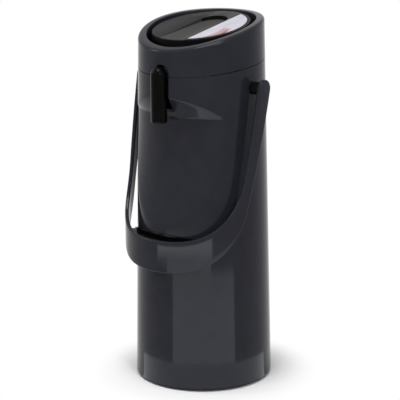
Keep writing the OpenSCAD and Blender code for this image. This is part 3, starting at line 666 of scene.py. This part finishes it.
def strap_edge(line, turn_from, turn_to):
    """One edge of the strap from the pivot to the middle, unrolled."""
    rows = []
    for i in range(13):
        a = radians(turn_from + (turn_to - turn_from) * i / 12)
        rows.append((eye_r * cos(a), pivot_z + eye_r * sin(a)))
    y0, z0 = rows[-1]
    y1, z1 = line[0]
    rows += [(y0 + (y1 - y0) * i / 8, z0 + (z1 - z0) * i / 8) for i in range(1, 9)]
    first = asin(y1 / bail_r)
    for i in range(1, 61):
        y = bail_r * sin(first + (pi / 2 - first) * i / 60)
        rows.append((y, height_at(line, y)))
    return [(bail_r * asin(min(1, y / bail_r)), z) for y, z in rows]


front = strap_edge(cubic((27.5, 222), (33.9, 190), (59.5, 162), (84.5, 160.3)), 98.6, 11.6)
rear = strap_edge(cubic((25, 188), (31, 166), (55, 131), (84.5, 127.2)), 104.6, 191.6)


def inward(line, other, i):
    """The way from one edge of the strap straight towards the other."""
    a, b = line[max(i - 1, 0)], line[min(i + 1, len(line) - 1)]
    t = Vector((1, 0)) if i == len(line) - 1 else Vector((b[0] - a[0], b[1] - a[1])).normalized()
    n = Vector((-t.y, t.x))
    across = Vector((other[i][0] - line[i][0], other[i][1] - line[i][1]))
    return n if n.dot(across) > 0 else -n


def strap_ring(i, sign):
    """Closed outline of the strap's section with its rounded edges."""
    f, corner = 1.3, []
    for a in range(0, 91, 15):
        corner.append((f * (1 - sin(radians(a))), strap - f * (1 - cos(radians(a)))))
    edge = corner + [(inset, strap - v) for inset, v in reversed(corner)]
    n, m = inward(front, rear, i), inward(rear, front, i)
    ring = [(Vector(front[i]) + n * inset, v) for inset, v in edge]
    back = [(Vector(rear[i]) + m * inset, v) for inset, v in reversed(edge)]
    for k in range(1, 6):
        ring.append((ring[len(edge) - 1][0].lerp(back[0][0], k / 6), 0))
    ring += back
    for k in range(1, 6):
        ring.append((back[-1][0].lerp(ring[0][0], k / 6), strap))
    out = []
    for p, v in ring:
        t, r = p.x / bail_r, bail_r - strap + v
        out.append((sign * r * cos(t), -r * sin(t), p.y))
    return out


rings = [strap_ring(i, 1) for i in range(len(front))]
rings += [strap_ring(i, -1) for i in range(len(front) - 2, -1, -1)]
piece("bail", "handle", anthracite, "handle_plastic", *loft(rings), stands_for=("handle_bail",))


# Spout cover: a thin domed tube of jet black, highly polished plastic, pushed
# over the nozzle. It takes the sharpest highlights of the whole jug.
put(finish_of("spout_black", (0.0012, 0.0010, 0.0008), (0.002, 0.0017, 0.0014), 0.05,
              spread=0.01, bump=0.004, shine=0.05), "spout_cover")


# Drip tray and grille: a curved black trough clipped inside the band, and a
# slotted strip that lies on its ledge: two rails with rounded bars between, and
# a low fence behind them that follows the jug.
tray_black = finish_of("tray_black", (0.002, 0.002, 0.002), (0.004, 0.004, 0.004), 0.14,
                       shine=0.10)
put(tray_black, "drip_tray")


bar_count, bar_pitch = 28, radians(3.4)


def rail(r0, r1):
    """A curved rail of the grille between two radii."""
    corners = [(r0, 157), (r0 + 0.12, 156.9), (r1 - 0.12, 156.9), (r1, 157), (r1, 158.2),
               (r1 - 0.1, 158.42), (r1 - 0.3, 158.5), (r0 + 0.3, 158.5), (r0 + 0.1, 158.42),
               (r0, 158.2)]
    return loft([[(r * sin(t), -r * cos(t), z) for r, z in corners]
                 for t in (radians(-50 + 100 * i / 80) for i in range(81))])


corners = [(-1.26, 157.2), (-1.1, 156.95), (1.1, 156.95), (1.26, 157.2), (1.2, 158.0),
           (0.95, 158.28), (0, 158.38), (-0.95, 158.28), (-1.2, 158.0)]
bar_mesh = mesh_of("bar", *loft([[(x, -r, z) for x, z in corners] for r in (70.9, 75.3)]))
bar = bpy.data.objects.new("bar", bar_mesh)
bpy.context.scene.collection.objects.link(bar)
fence_half, fence_low, fence_rise = 49.5, 157.2, 6.2
fence = []
for i in range(81):
    t = radians(-fence_half + 2 * fence_half * i / 80)
    top = 158.8 + fence_rise * cos(t / radians(fence_half + 0.1) * pi / 2) ** 0.7
    fence.append([(r * sin(t), -r * cos(t), z) for r, z in
                  ((69.65, fence_low), (70.35, fence_low), (70.35, top - 0.2), (70.2, top),
                   (69.8, top), (69.65, top - 0.2))])
grille = piece("grille", "handle", tray_black, "tray_plastic",
               *joined(rail(69.6, 71.2), rail(74.95, 76.0), loft(fence)),
               stands_for=("drip_grille",))

group = bpy.data.node_groups.new("grille_bars", "GeometryNodeTree")
for name, kind in (("Geometry", "Geometry"), ("Bars", "Int"), ("Pitch", "Float"),
                   ("Bar", "Object"), ("Finish", "Material")):
    group.interface.new_socket(name, in_out="INPUT", socket_type="NodeSocket" + kind)
group.interface.new_socket("Geometry", in_out="OUTPUT", socket_type="NodeSocketGeometry")
given, result = group.nodes.new("NodeGroupInput"), group.nodes.new("NodeGroupOutput")


def step(kind, settings=None, **inputs):
    """One node of the group, with its settings and inputs; gives its first output."""
    made = group.nodes.new(kind)
    for name, value in (settings or {}).items():
        setattr(made, name, value)
    for name, value in inputs.items():
        socket = made.inputs[int(name[1:])] if name[1:].isdigit() else \
            made.inputs[name.replace("_", " ")]
        if isinstance(value, bpy.types.NodeSocket):
            group.links.new(value, socket)
        else:
            socket.default_value = value
    return made.outputs[0]


middle = step("ShaderNodeMath", {"operation": "MULTIPLY_ADD"}, i0=given.outputs["Bars"],
              i1=0.5, i2=-0.5)
offset = step("ShaderNodeMath", {"operation": "SUBTRACT"}, i0=step("GeometryNodeInputIndex"),
              i1=middle)
around = step("ShaderNodeCombineXYZ", Z=step("ShaderNodeMath", {"operation": "MULTIPLY"},
                                             i0=offset, i1=given.outputs["Pitch"]))
holder = group.nodes.new("GeometryNodeObjectInfo")
group.links.new(given.outputs["Bar"], holder.inputs["Object"])
line = step("GeometryNodeMeshLine", Count=given.outputs["Bars"], Offset=(0.0, 0.0, 0.0))
bars = step("GeometryNodeInstanceOnPoints", Points=line, Instance=holder.outputs["Geometry"],
            Rotation=around)
bars = step("GeometryNodeRealizeInstances", Geometry=bars)
bars = step("GeometryNodeSetMaterial", Geometry=bars, Material=given.outputs["Finish"])
join = group.nodes.new("GeometryNodeJoinGeometry")
group.links.new(given.outputs["Geometry"], join.inputs[0])
group.links.new(bars, join.inputs[0])
group.links.new(join.outputs[0], result.inputs[0])
repeat = grille.modifiers.new("bars", "NODES")
repeat.node_group = group
keys = {s.name: s.identifier for s in group.interface.items_tree
        if s.item_type == "SOCKET" and s.in_out == "INPUT"}
repeat[keys["Bars"]], repeat[keys["Pitch"]] = bar_count, bar_pitch
repeat[keys["Bar"]], repeat[keys["Finish"]] = bar, tray_black
view = bpy.context.evaluated_depsgraph_get()
grown = bpy.data.meshes.new_from_object(grille.evaluated_get(view))
grille.modifiers.clear()
grille.data = grown
bpy.data.objects.remove(bar)
